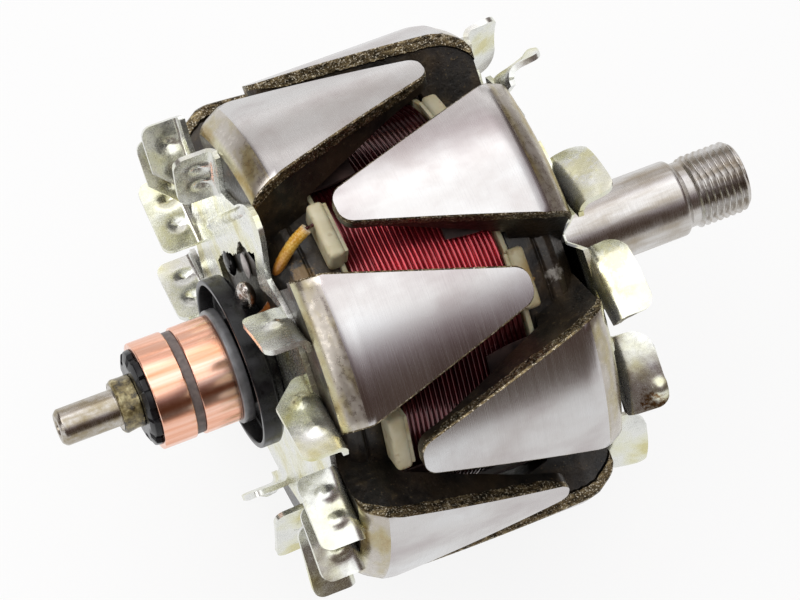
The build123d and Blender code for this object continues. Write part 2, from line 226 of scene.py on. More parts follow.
def smooth_path(points, count):
    """Points on a smooth curve (Catmull-Rom) through a list of points."""
    p = [np.array(q, float) for q in points]
    p = [2 * p[0] - p[1]] + p + [2 * p[-1] - p[-2]]
    out = []
    spans = len(p) - 3
    for k in range(count):
        u = k / (count - 1) * spans
        i = min(int(u), spans - 1)
        t = u - i
        a, b, c, d = p[i : i + 4]
        square = (2 * a - 5 * b + 4 * c - d) * t * t
        cube = (3 * b - a - 3 * c + d) * t ** 3
        out.append(0.5 * (2 * b + (c - a) * t + square + cube))
    return out


def pebble(place, halves, turn, rows=14, cols=20, lumps=()):
    """A rounded lump: half sizes along the shaft, outwards and across, about a place."""
    s, r, angle = place
    out = radial(math.radians(turn))
    across = np.cross(np.array([1.0, 0, 0]), out)
    centre = at(MID + s, r, math.radians(angle))
    verts = []
    for i in range(rows):
        t = math.pi * (i + 0.01) / (rows - 0.98)
        for j in range(cols):
            p = 2 * math.pi * j / cols
            d = np.array([math.cos(t), math.sin(t) * math.cos(p), math.sin(t) * math.sin(p)])
            towards = [(w, max(d[0] * a + d[1] * b + d[2] * c, 0)) for a, b, c, w in lumps]
            swell = 1 + sum(w * near ** 3 for w, near in towards)
            shift = np.array([d[0] * halves[0], 0, 0]) + out * d[1] * halves[1]
            verts.append(centre + (shift + across * d[2] * halves[2]) * swell)
    return verts, grid_faces(rows, cols, False, True)


def box_shell(low, high, edge, steps):
    """A block with rounded edges, as verts and faces."""
    bm = bmesh.new()
    bmesh.ops.create_cube(bm, size=1)
    size = np.array(high) - np.array(low)
    centre = (np.array(high) + np.array(low)) / 2
    for v in bm.verts:
        v.co = Vector([c * s + m for c, s, m in zip(v.co, size, centre)])
    edges = list(bm.edges)
    bmesh.ops.bevel(bm, geom=edges, offset=edge, segments=steps, affect="EDGES", profile=0.6)
    bm.verts.index_update()
    verts = [tuple(v.co) for v in bm.verts]
    faces = [tuple(v.index for v in f.verts) for f in bm.faces]
    bm.free()
    return verts, faces


# ---- materials
def set_ramp(ramp, stops):
    """Fill a colour ramp from (place, colour or grey value) pairs."""
    while len(ramp.elements) < len(stops):
        ramp.elements.new(0.5)
    for element, (place, color) in zip(ramp.elements, stops):
        element.position = place
        element.color = (*(color if isinstance(color, tuple) else (color,) * 3), 1)


class Nodes:
    """Short calls for building one node material."""

    def __init__(self, name, color, metallic, roughness):
        self.mat = bpy.data.materials.new(name)
        self.mat.use_nodes = True
        self.tree = self.mat.node_tree
        self.shader = self.tree.nodes["Principled BSDF"]
        self.set("Base Color", (*color, 1))
        self.set("Metallic", metallic)
        self.set("Roughness", roughness)
        self.coords = self.new("TexCoord").outputs["Object"]

    def set(self, name, value):
        self.shader.inputs[name].default_value = value

    def new(self, kind):
        return self.tree.nodes.new("ShaderNode" + kind)

    def link(self, a, b):
        self.tree.links.new(a, b)

    def math(self, op, a, b=None, clamp=False):
        node = self.new("Math")
        node.operation = op
        node.use_clamp = clamp
        for i, v in enumerate((a, b)):
            if v is None:
                continue
            if isinstance(v, (int, float)):
                node.inputs[i].default_value = v
            else:
                self.link(v, node.inputs[i])
        return node.outputs[0]

    def times(self, a, b):
        return self.math("MULTIPLY", a, b)

    def slope(self, a, b, steep):
        """How far a is above b, times a steepness, kept between zero and one."""
        return self.math("MULTIPLY", self.math("SUBTRACT", a, b), steep, True)

    def split(self):
        """The three object coordinates, in metres."""
        node = self.new("SeparateXYZ")
        self.link(self.coords, node.inputs[0])
        return node.outputs

    def from_axis(self, y, z):
        """Distance from the shaft axis, in metres."""
        square = self.math("ADD", self.times(y, y), self.times(z, z))
        return self.math("SQRT", square)

    def polar(self, along, outward, around):
        """A vector of (x, r, angle) in millimetres and radians, each scaled."""
        x, y, z = self.split()
        r = self.from_axis(y, z)
        a = self.math("ARCTAN2", y, z)
        joined = self.new("CombineXYZ")
        for i, (value, scale) in enumerate(((x, 1000 * along), (r, 1000 * outward), (a, around))):
            self.link(self.times(value, scale), joined.inputs[i])
        return joined.outputs[0]

    def radius(self):
        """Distance from the shaft axis, in millimetres."""
        _, y, z = self.split()
        return self.times(self.from_axis(y, z), 1000)

    def axial(self):
        """Place along the shaft, in millimetres."""
        return self.times(self.split()[0], 1000)

    def scaled(self, factor):
        node = self.new("VectorMath")
        node.operation = "SCALE"
        self.link(self.coords, node.inputs[0])
        node.inputs["Scale"].default_value = factor
        return node.outputs[0]

    def noise(self, vector, detail=3.0, rough=0.55):
        node = self.new("TexNoise")
        self.link(vector, node.inputs["Vector"])
        node.inputs["Scale"].default_value = 1.0
        node.inputs["Detail"].default_value = detail
        node.inputs["Roughness"].default_value = rough
        return node.outputs["Fac"]

    def grain(self, waves, detail=3.0, rough=0.55):
        """Noise alike in every direction, with so many waves to the metre."""
        return self.noise(self.scaled(waves), detail, rough)

    def near(self, s, radius, angle, reach):
        """One at a place (s, radius, degrees), falling to zero at its reach."""
        node = self.new("VectorMath")
        node.operation = "DISTANCE"
        self.link(self.coords, node.inputs[0])
        node.inputs[1].default_value = tuple(at(MID + s, radius, math.radians(angle)) * MM)
        away = self.times(node.outputs["Value"], 1000 / reach)
        return self.math("SUBTRACT", 1.0, away, True)

    def stains(self, shade, spots):
        """Broken stains, and spots of painted reflection, over a colour, from (s, radius, degrees,
        reach, weight, colour).
        """
        for *place, weight, color in spots:
            raised = self.times(self.near(*place), 0.55)
            wave = self.math("ADD", self.grain(800.0, 5.0, 0.7), raised)
            broken = self.slope(wave, 0.72, 7.0)
            shade = self.mix(self.times(broken, weight), shade, color)
        return shade

    def ramp(self, fac, stops):
        node = self.new("ValToRGB")
        set_ramp(node.color_ramp, stops)
        self.link(fac, node.inputs[0])
        return node.outputs[0]

    def mix(self, fac, a, b):
        node = self.new("Mix")
        node.data_type = "RGBA"
        for value, index in ((fac, 0), (a, 6), (b, 7)):
            if isinstance(value, tuple):
                node.inputs[index].default_value = (*value, 1)
            elif isinstance(value, (int, float)):
                node.inputs[index].default_value = value
            else:
                self.link(value, node.inputs[index])
        return node.outputs[2]

    def over(self, base, fac, low, high, weight, color):
        """A colour over the base, growing to its weight as the factor goes from low to high."""
        return self.mix(self.ramp(fac, [(low, 0.0), (high, weight)]), base, color)

    def multiply(self, a, b):
        out = self.mix(1.0, a, b)
        out.node.blend_type = "MULTIPLY"
        return out

    def color(self, socket):
        self.link(socket, self.shader.inputs["Base Color"])

    def roughness(self, fac, low, high):
        self.link(self.ramp(fac, [(0.3, low), (0.7, high)]), self.shader.inputs["Roughness"])

    def bump(self, height, distance, strength, after=None):
        """Relief with a height in millimetres, on top of an earlier one."""
        node = self.new("Bump")
        node.inputs["Strength"].default_value = strength
        node.inputs["Distance"].default_value = distance * MM
        self.link(height, node.inputs["Height"])
        if after is not None:
            self.link(after, node.inputs["Normal"])
        self.link(node.outputs[0], self.shader.inputs["Normal"])
        return node.outputs[0]

    def coat(self, weight, rough):
        self.set("Coat Weight", weight)
        self.set("Coat Roughness", rough)


def turned_steel_painted_reflection():
    """The claws' turned tops: fine lathe lines, and mauve patches that are painted reflection."""
    m = Nodes("turned_steel_painted_reflection", (0.62, 0.61, 0.6), 1.0, 0.3)
    lines = m.noise(m.polar(9.0, 0.0, 2.0), 2.0)
    # Tone that changes around the shaft and mauve patches: partly random tone, partly painted
    # reflection of dark bands.
    base = m.ramp(m.noise(m.polar(0.03, 0.0, 3.0), 4.0), [
        (0.36, (0.47, 0.43, 0.43)), (0.5, (0.6, 0.585, 0.58)), (0.66, (0.66, 0.66, 0.665))])
    m.color(m.over(base, m.grain(70.0, 5.0), 0.5, 0.78, 0.6, (0.42, 0.37, 0.36)))
    m.roughness(lines, 0.17, 0.3)
    m.bump(lines, 0.012, 0.45)
    return m.mat


def rim_with_painted_glints():
    """The torn rim of each claw: gold brown metal, partly painted catch light, with pale sparkles
    that are painted glints.
    """
    m = Nodes("torn_rim_painted_glints", (0.3, 0.22, 0.1), 0.85, 0.4)
    coarse = m.noise(m.polar(0.5, 1.1, 40.0), 5.0, 0.65)
    fine = m.grain(2600.0, 3.0, 0.6)
    base = m.ramp(coarse, [
        (0.38, (0.03, 0.024, 0.014)), (0.54, (0.15, 0.11, 0.055)), (0.68, (0.42, 0.34, 0.19))])
    # Pale sparkles over the gold brown: painted glints.
    m.color(m.over(base, fine, 0.56, 0.64, 0.9, (0.85, 0.78, 0.62)))
    m.roughness(fine, 0.2, 0.5)
    first = m.bump(coarse, 0.3, 0.6)
    m.bump(fine, 0.12, 0.6, first)
    return m.mat


def forged_steel():
    """Dark forging scale with specks, and the stains that the photograph shows."""
    m = Nodes("forged_scale", (0.04, 0.035, 0.028), 0.4, 0.42)
    coarse = m.grain(350.0, 6.0, 0.6)
    fine = m.grain(1600.0, 4.0, 0.6)
    base = m.ramp(coarse, [
        (0.35, (0.006, 0.0055, 0.005)), (0.55, (0.022, 0.018, 0.014)),
        (0.75, (0.075, 0.055, 0.03))])
    brown = m.over(base, m.grain(90.0), 0.45, 0.65, 0.5, (0.07, 0.045, 0.022))
    m.color(m.stains(m.over(brown, fine, 0.62, 0.75, 0.7, (0.22, 0.16, 0.08)), (
        (24.5, 38.5, 32.5, 3.2, 0.6, (0.46, 0.44, 0.4)),
        (18.5, 39.5, 32.0, 2.6, 1.0, (0.42, 0.24, 0.05)),
        (-24.0, 39.5, 7.0, 5.0, 0.7, (0.2, 0.12, 0.04)),
        (24.5, 38.0, -31.0, 7.0, 1.0, (0.4, 0.39, 0.37)),
    )))
    m.roughness(fine, 0.25, 0.55)
    first = m.bump(coarse, 0.5, 0.6)
    m.bump(fine, 0.15, 0.5, first)
    m.coat(0.3, 0.2)
    return m.mat


def bevel_steel():
    """The smooth end bevels: mauve grey metal under runs of olive and amber varnish."""
    m = Nodes("varnished_bevel", (0.4, 0.38, 0.36), 0.85, 0.3)
    run = m.noise(m.polar(0.25, 0.0, 4.5), 3.0, 0.5)
    fine = m.grain(900.0)
    base = m.ramp(run, [
        (0.3, (0.58, 0.54, 0.5)), (0.5, (0.5, 0.46, 0.4)),
        (0.62, (0.44, 0.38, 0.22)), (0.78, (0.34, 0.22, 0.07))])
    below = m.slope(51.0, m.radius(), 0.8)
    olive = m.over((0.56, 0.53, 0.34), run, 0.4, 0.6, 1.0, (0.36, 0.25, 0.06))
    m.color(m.over(base, below, 0.1, 0.7, 0.9, olive))
    m.roughness(fine, 0.2, 0.42)
    m.bump(fine, 0.015, 0.2)
    m.coat(0.4, 0.12)
    return m.mat


def zinc_sheet(name, painted_shade_place, spots):
    """Zinc plated sheet with yellow green tints; painted shade, near black, on one face of the
    plate.
    """
    m = Nodes(name, (0.6, 0.6, 0.55), 0.88, 0.34)
    fine = m.grain(1200.0)
    base = m.ramp(m.grain(95.0, 4.0), [
        (0.34, (0.66, 0.62, 0.34)), (0.44, (0.76, 0.76, 0.6)),
        (0.56, (0.79, 0.8, 0.76)), (0.72, (0.7, 0.71, 0.69))])
    shade = m.stains(m.over(base, fine, 0.64, 0.8, 0.25, (0.36, 0.34, 0.26)), spots)
    # Painted shade: behind the front place and inside the rim radius the plate turns near black.
    if painted_shade_place is not None:
        front, rim = painted_shade_place
        behind = m.slope(front, m.axial(), 4.0)
        inside = m.slope(rim, m.radius(), 0.8)
        shade = m.mix(m.times(behind, inside), shade, (0.012, 0.011, 0.010))
    m.color(shade)
    m.roughness(fine, 0.18, 0.31)
    first = m.bump(m.grain(140.0, 2.0), 0.4, 0.5)
    m.bump(fine, 0.05, 0.3, first)
    return m.mat


def red_enamel_painted_light():
    """Enamelled wire: bright red, painted light, about one place between the claws; dark red,
    painted shade, elsewhere.
    """
    m = Nodes("red_enamel_painted_light", (0.28, 0.012, 0.02), 0.8, 0.24)
    fine = m.noise(m.polar(1.0, 0.5, 6.0))
    lit_red = m.ramp(fine, [(0.3, (0.32, 0.016, 0.026)), (0.7, (0.64, 0.06, 0.08))])
    shaded_red = m.ramp(fine, [(0.3, (0.05, 0.004, 0.006)), (0.7, (0.13, 0.012, 0.016))])
    # Painted light and shade: bright red near one place, dark red away from it.
    m.color(m.over(shaded_red, m.near(4.0, 40.0, 13.0, 30.0), 0.22, 0.62, 1.0, lit_red))
    m.coat(0.9, 0.08)
    return m.mat


def cream_nylon():
    m = Nodes("cream_nylon", (0.72, 0.64, 0.42), 0.0, 0.38)
    base = m.ramp(m.grain(160.0), [
        (0.33, (0.42, 0.31, 0.13)), (0.48, (0.58, 0.52, 0.33)), (0.7, (0.66, 0.62, 0.45))])
    m.color(m.over(base, m.grain(420.0, 4.0), 0.55, 0.72, 0.7, (0.3, 0.19, 0.06)))
    m.bump(m.grain(900.0, 2.0), 0.05, 0.3)
    m.set("Subsurface Weight", 0.1)
    m.set("Subsurface Scale", 0.002)
    return m.mat


def copper():
    m = Nodes("ring_copper", (0.85, 0.45, 0.3), 1.0, 0.2)
    lines = m.noise(m.polar(12.0, 0.0, 1.0), 2.0)
    m.color(m.ramp(m.noise(m.polar(0.02, 0.0, 6.0), 2.0), [
        (0.32, (0.74, 0.32, 0.18)), (0.5, (0.88, 0.48, 0.34)), (0.68, (0.95, 0.64, 0.52))]))
    m.roughness(lines, 0.14, 0.26)
    m.bump(lines, 0.01, 0.4)
    return m.mat


def shaft_steel():
    """Ground steel with brown stains, and grime on the thin stub."""
    m = Nodes("shaft_steel", (0.56, 0.54, 0.51), 1.0, 0.26)
    lines = m.noise(m.polar(8.0, 0.0, 1.5), 2.0)
    base = m.ramp(m.noise(m.polar(0.06, 0.0, 3.0)), [
        (0.35, (0.42, 0.38, 0.33)), (0.55, (0.6, 0.58, 0.56)), (0.7, (0.66, 0.65, 0.64))])
    shade = m.over(base, m.grain(120.0, 4.0), 0.52, 0.75, 0.6, (0.3, 0.24, 0.16))
    reach = m.slope(MID - 60.0, m.axial(), 0.25)
    grime = m.ramp(m.grain(330.0, 5.0, 0.65), [(0.4, 0.25), (0.6, 1.0)])
    amount = m.times(reach, m.times(grime, 0.75))
    m.color(m.mix(amount, shade, (0.27, 0.215, 0.115)))
    m.roughness(lines, 0.2, 0.36)
    m.bump(lines, 0.015, 0.5)
    return m.mat


def brown_resin():
    m = Nodes("brown_resin", (0.22, 0.15, 0.06), 0.5, 0.3)
    blotch = m.grain(500.0, 5.0, 0.65)
    m.color(m.ramp(blotch, [
        (0.35, (0.04, 0.032, 0.018)), (0.5, (0.24, 0.19, 0.08)), (0.65, (0.56, 0.5, 0.28))]))
    m.roughness(blotch, 0.2, 0.5)
    m.bump(blotch, 0.4, 0.8)
    m.coat(0.5, 0.1)
    return m.mat


def woven_sleeve():
    """Yellow orange weave, dark with varnish near the solder, frayed pale at the top."""
    m = Nodes("woven_sleeve", (0.78, 0.45, 0.07), 0.0, 0.4)
    weave = m.new("TexChecker")
    m.link(m.scaled(1000.0), weave.inputs["Vector"])
    weave.inputs["Scale"].default_value = 1.6
    checks = m.mix(weave.outputs["Fac"], (0.6, 0.27, 0.02), (0.95, 0.74, 0.28))
    base = m.ramp(m.grain(180.0, 2.0), [
        (0.35, (0.72, 0.36, 0.03)), (0.5, (0.85, 0.5, 0.05)), (0.65, (0.9, 0.62, 0.12))])
    worn = m.ramp(m.math("DIVIDE", m.radius(), 50.0), [
        (0.7, (0.3, 0.13, 0.05)), (0.8, (0.75, 0.55, 0.35)), (0.86, (1.0, 1.0, 1.0))])
    shade = m.multiply(m.mix(0.4, base, checks), worn)
    for angle in (-1.9, 178.1):
        end = m.near(-20.9, 46.0, angle, 2.2)
        shade = m.over(shade, end, 0.3, 0.6, 0.8, (0.86, 0.78, 0.62))
    m.color(shade)
    m.bump(weave.outputs["Fac"], 0.15, 0.6)
    m.coat(0.5, 0.15)
    return m.mat


def plain_look(name, color, metallic, rough, waves, detail, stops, relief, extra=()):
    """One colour that varies a little, over a soft relief."""
    m = Nodes(name, color, metallic, rough)
    fine = m.grain(waves, detail)
    m.color(m.ramp(fine, stops))
    m.bump(fine, *relief)
    for key, value in extra:
        m.set(key, value)
    return m.mat


MAT = {
    "turned": turned_steel_painted_reflection(),
    "forged": forged_steel(),
    "bevel": bevel_steel(),
    "rim": rim_with_painted_glints(),
    # Painted shade on the drive fan's plate lies behind this axial place and inside this radius.
    "drive_zinc": zinc_sheet("drive_fan_zinc_painted_light", (MID + 32.1, 36.5), (
        # Painted reflection: the brown spot and the blue grey spot on one blade.
        (36.6, 47.5, 75.0, 6.0, 1.0, (0.22, 0.12, 0.045)),
        (33.4, 44.0, 72.0, 4.0, 1.0, (0.2, 0.22, 0.3)),
        (36.5, 44.5, 8.0, 7.0, 0.5, (0.7, 0.67, 0.36)),
        (36.0, 43.0, 34.0, 6.0, 0.5, (0.7, 0.64, 0.36)),
    )),
    "ring_zinc": zinc_sheet("ring_fan_zinc", None, ()),
    "red": red_enamel_painted_light(),
    "cream": cream_nylon(),
    "black": plain_look("black_plastic", (0.01, 0.01, 0.011), 0.0, 0.22, 700.0, 3.0, [
        (0.3, (0.004, 0.004, 0.005)), (0.8, (0.018, 0.018, 0.02))], (0.03, 0.3),
        [("Specular IOR Level", 0.28)]),
    "copper": copper(),
    "band": plain_look("grey_band", (0.16, 0.13, 0.125), 0.0, 0.5, 800.0, 3.0, [
        (0.3, (0.11, 0.09, 0.085)), (0.7, (0.22, 0.18, 0.17))], (0.05, 0.3)),
    "flange": plain_look("end_flange", (0.2, 0.2, 0.2), 0.3, 0.28, 500.0, 3.0, [
        (0.3, (0.15, 0.15, 0.155)), (0.7, (0.24, 0.24, 0.25))], (0.04, 0.3)),
    "shaft": shaft_steel(),
    "resin": brown_resin(),
    "sleeve": woven_sleeve(),
    "solder": plain_look("solder", (0.66, 0.62, 0.58), 1.0, 0.22, 700.0, 4.0, [
        (0.35, (0.34, 0.27, 0.22)), (0.6, (0.74, 0.71, 0.68))], (0.4, 0.8)),
    "shield": plain_look("shield_sheet", (0.2, 0.15, 0.16), 0.0, 0.45, 300.0, 4.0, [
        (0.3, (0.018, 0.012, 0.012)), (0.7, (0.07, 0.042, 0.036))], (0.1, 0.3),
        [("Coat Weight", 0.5), ("Coat Roughness", 0.2)]),
    "lug": plain_look("pale_lug", (0.52, 0.49, 0.47), 0.1, 0.35, 600.0, 3.0, [
        (0.3, (0.42, 0.39, 0.38)), (0.7, (0.6, 0.57, 0.55))], (0.1, 0.3)),
    "gloss": plain_look("glossy_black", (0.008, 0.008, 0.009), 0.0, 0.12, 450.0, 2.0, [
        (0.3, (0.004, 0.004, 0.005)), (0.7, (0.016, 0.015, 0.015))], (0.6, 0.8)),
}


# ---- claw poles
TIP_REACH = 15.5  # the tip stands this far past the middle
SHOULDER = 23.6  # the turned top ends here
BASE_HALF = 16.1
TIP_HALF = 3.6
TIP_THICK = 3.0
TIP_ROUND = 2.3
ROOT_R = 43.0
CORE_R = 25.0
DISC_IN = 17.0
DISC_R = 39.5
DRAFT = math.tan(math.radians(5.0))
LIP_STEPS = (0.25, 0.9, 1.7, 2.5, 2.8, 3.4)  # rows of the torn rim, below the top
LIP_FACES = 4
UNDERCUT = 0.95
TORN = 0.14
TOP_EDGE = 0.35  # the turned top stops this far from the sides
TOP_POINTS, SIDE_POINTS, UNDER_POINTS = 17, 11, 9
CLAW_LOOKS = ("turned", "forged", "bevel", "rim", "lug", "gloss")
TURNED, FORGED, BEVEL, RIM, LUG, GLOSS = range(6)


def claw_half_width(s):
    """Half the claw's width, with the rounded corners of its tip."""
    d = s + TIP_REACH
    t = d / (SHOULDER + TIP_REACH)
    half = TIP_HALF + (BASE_HALF - TIP_HALF) * min(max(t, 0), 1)
    if d < TIP_ROUND:
        half -= TIP_ROUND - math.sqrt(max(TIP_ROUND ** 2 - (TIP_ROUND - d) ** 2, 0))
    return max(half, 0.6)


def claw_outer(s):
    """Outer radius along the claw, with the rounded shoulder and bevel at its base."""
    if s < SHOULDER - 1.5:
        return CLAW_R
    places = [SHOULDER - 1.5, SHOULDER + 1.0, 26.0, 27.7, 28.7, POLE_HALF]
    radii = [CLAW_R, 53.2, 52.3, 51.2, 50.2, 48.8]
    return float(np.interp(s, places, radii))


def claw_inner(s):
    """Inner radius along the claw, which grows thicker towards the disc."""
    if s < DISC_IN:
        t = (s + TIP_REACH) / (DISC_IN + TIP_REACH)
        return CLAW_R - TIP_THICK + (ROOT_R - CLAW_R + TIP_THICK) * t
    return max(ROOT_R - (s - DISC_IN) * 4.0, 30.0)


def claw_row(s, waves, torn):
    """One cross-section of the claw: top, right side, underside and left side."""
    half = claw_half_width(s)
    r_out = claw_outer(s)
    depth = r_out - claw_inner(s)
    ragged = sum(a * math.sin(f * s + p) for f, p, a in waves)
    top = []
    for k in range(TOP_POINTS):
        y = (half - TOP_EDGE) * (2 * k / (TOP_POINTS - 1) - 1)
        top.append((y, math.sqrt(max(r_out ** 2 - y * y, 1))))
    top_z = math.sqrt(r_out ** 2 - half ** 2)
    first, last = LIP_STEPS[0], LIP_STEPS[-1]
    full = min(max((depth - last) / 1.5, 0), 1)
    right = []
    for k in range(SIDE_POINTS):
        even = first + (depth - first) * k / (SIDE_POINTS - 1)
        past = k - len(LIP_STEPS) + 1
        if past <= 0:
            step = LIP_STEPS[k] + (torn if k > 1 else 0)
        else:
            step = last + (depth - last) * past / (SIDE_POINTS - len(LIP_STEPS))
        h = even + (step - even) * full
        under = UNDERCUT * full if k >= LIP_FACES else 0
        swell = torn * 0.8 if 0 < k < LIP_FACES else 0
        y = half - h * DRAFT - under + swell * full + ragged * 0.35 * min(h / 3, 1)
        right.append((max(y, 0.3), top_z - h))
    y_in, z_in = right[-1]
    inner = [(y_in * (1 - 2 * k / UNDER_POINTS), z_in) for k in range(1, UNDER_POINTS)]
    return top + right + inner + [(-y, z) for y, z in reversed(right)]


def claw_shell(phase, noise_seed):
    """One claw as a loft of cross-sections along the shaft, tip at -X."""
    rng = random.Random(noise_seed)
    draw = rng.uniform
    waves = [(draw(0.15, 0.6), draw(0, 6.28), draw(0.05, 0.14)) for _ in range(5)]
    stations = [-TIP_REACH + v for v in (0, 0.15, 0.45, 0.9, 1.5, 2.2, 3.0)]
    stations += list(np.linspace(-TIP_REACH + 3.8, SHOULDER - 2.0, 44))
    stations += [SHOULDER - 1, SHOULDER, 24.6, 25.6, 26.6, 27.4, 28.0, 28.6, 29.1, POLE_HALF]
    rows = [claw_row(s, waves, draw(-TORN, TORN)) for s in stations]
    cols = len(rows[0])
    verts = [(MID + s, y, z) for s, row in zip(stations, rows) for y, z in row]
    mats = []
    for before, after in zip(stations, stations[1:]):
        for j in range(cols):
            if j < TOP_POINTS - 1:
                mats.append(TURNED if (before + after) / 2 < SHOULDER + 0.6 else BEVEL)
            elif j < TOP_POINTS - 1 + LIP_FACES or j >= cols - LIP_FACES:
                mats.append(RIM)
            else:
                mats.append(FORGED)
    faces = grid_faces(len(rows), cols, False, True)
    faces.append(tuple(reversed(range(cols))))
    faces.append(tuple(range((len(rows) - 1) * cols, len(rows) * cols)))
    build = Build()
    build.add(verts, faces, mats + [RIM, FORGED])
    return build.turn(phase)


def pole(name, node, side, phase):
    """A whole pole piece; side 1 has its base at +X."""
    build = Build()
    for k in range(CLAWS):
        build.merge(claw_shell(phase + k * CLAW_PITCH, 11 * k + side))
    disc = [
        (0.02, SEAT_R), (POLE_HALF, SEAT_R), (POLE_HALF, 34.0), (26.2, 38.6), (24.6, DISC_R),
        (23.0, 39.4), (22.6, 38.7), (22.1, 39.4), (DISC_IN, DISC_R), (DISC_IN, CORE_R),
        (0.02, CORE_R),
    ]

    def uneven(x, r, a):
        return 0.18 * math.sin(5 * a + x) if r > 38 else 0

    profile = round_corners([(MID + s, r) for s, r in disc], 0.35)
    build.add(*lathe(profile, 144, uneven), FORGED)
    if side < 0:
        build.verts = [np.array([2 * MID - v[0], v[1], v[2]]) for v in build.verts]
        build.faces = [tuple(reversed(f)) for f in build.faces]
        build.add(*pebble((-29.9, 22.6, -28.5), (0.6, 2.9, 2.1), -48.0), LUG)
        build.add(*pebble((-30.3, 20.0, -66.0), (1.0, 3.0, 2.7), -66.0), GLOSS)
    build.piece(name, node, CLAW_LOOKS, "pole_steel", 32)


pole("drive_end_claws", "drive_end_pole", 1, 0.0)
pole("slip_ring_end_claws", "slip_ring_end_pole", -1, CLAW_PITCH / 2)


# ---- winding and bobbin
WIRE_PITCH = 1.04
WINDING_HALF = 15.5
WIRE_FOOT_R = 38.6
FLANGE_FACE = 16.6
FLANGE_R = 40.5
TAB_TOPS = {1: 42.45, -1: 46.25}  # low tabs at the drive end, tall ones at the other
PETAL_STEPS = 12
PETAL_R = 41.3
PETAL_FOOT_R = 39.0


def winding():
    """The coil as one turned body with a ridge for each turn of wire."""
    turns = int(2 * WINDING_HALF / WIRE_PITCH)
    start = MID - turns * WIRE_PITCH / 2
    high, low = MID + WINDING_HALF, MID - WINDING_HALF
    profile = [(high, 26.3), (low, 26.3), (low, WIRE_FOOT_R)]
    for k in range(turns):
        centre = start + (k + 0.5) * WIRE_PITCH
        for a in (168, 145, 118, 90, 62, 35, 12):
            t = math.radians(a)
            x = centre + 0.5 * WIRE_PITCH * math.cos(t)
            profile.append((x, WINDING_R - 0.6 + 0.58 * math.sin(t)))
    profile.append((high, WIRE_FOOT_R))
    rng = random.Random(5)
    shifts = [rng.uniform(-0.1, 0.02) for _ in range(turns + 1)]

    def wobble(x, r, a):
        if r < 39:
            return 0
        turn = min(max(int((x - start) / WIRE_PITCH), 0), turns)
        return shifts[turn] * (0.6 + 0.4 * math.sin(3 * a + turn)) - 0.02

    build = Build()
    build.add(*lathe(profile, 120, wobble))
    build.piece("wound_wire", "field_winding", ["red"], "winding_enamel", 60)


def bobbin():
    """Tube and flanges, with a tab over each valley at both ends."""
    build = Build()
    high, low = MID + FLANGE_FACE, MID - FLANGE_FACE
    profile = [
        (low, 25.2), (high, 25.2), (high, FLANGE_R), (high - 1, FLANGE_R),
        (high - 1, 26.2), (low + 1, 26.2), (low + 1, FLANGE_R), (low, FLANGE_R),
    ]
    build.add(*lathe(round_corners(profile, 0.2), 96))
    for side, phase in ((1, CLAW_PITCH / 2), (-1, 0.0)):
        top = TAB_TOPS[side]
        x0, x1 = sorted((MID + side * 15.65, MID + side * 19.2))
        x2, x3 = sorted((MID + side * 14.9, MID + side * 15.8))
        tab = Build()
        tab.add(*box_shell((x0, -6.5, 39.7), (x1, 6.5, top), 1.3, 4))
        tab.add(*box_shell((x2, -5.9, 40.3), (x3, 5.9, top - 0.8), 0.4, 2))
        for k in range(CLAWS):
            build.merge(tab.turn(phase + k * CLAW_PITCH))
    build.piece("coil_bobbin", "bobbin", ["cream"], "bobbin_nylon", 40)


def shield(name, node, side, phase):
    """A thin washer with a petal under each claw."""
    build = Build()
    x_in, x_out = MID + side * 16.62, MID + side * 16.98
    build.add(*lathe([(x_in, 25.3), (x_out, 25.3), (x_out, 39.3), (x_in, 39.3)], 72))
    half = math.radians(13.5)
    for k in range(CLAWS):
        grid = []
        for i in range(PETAL_STEPS + 1):
            u = i / PETAL_STEPS
            row = []
            for j in range(PETAL_STEPS + 1):
                v = j / PETAL_STEPS
                if v < 0.2:
                    x = MID + side * 16.8
                    r = PETAL_FOOT_R + (PETAL_R - PETAL_FOOT_R) * v / 0.2
                else:
                    x = MID + side * (16.8 - 11.6 * ((v - 0.2) / 0.8))
                    r = PETAL_R + 0.05 * math.sin(9 * u)
                narrow = 1 - 0.25 * max(v - 0.5, 0) ** 1.5
                row.append(at(x, r, phase + k * CLAW_PITCH + (2 * u - 1) * half * narrow))
            grid.append(row)
        build.add(*sheet_shell(grid, 0.45))
    build.piece(name, node, ["shield"], "winding_shield")


winding()
bobbin()
shield("drive_end_petals", "drive_end_winding_shield", 1, 0.0)
shield("slip_ring_end_petals", "slip_ring_end_winding_shield", -1, CLAW_PITCH / 2)


# ---- fans
SHEET = 1.15
BLADE_COLS = 29
BLADE_ROWS = 12


def edge_inset(top, radius, cut):
    """How far a blade's side edge draws in at a distance below its tip."""
    inset = max(cut - top, 0.0)
    if top < radius:
        inset = max(inset, radius - math.sqrt(max(radius ** 2 - (radius - top) ** 2, 0)))
    return inset


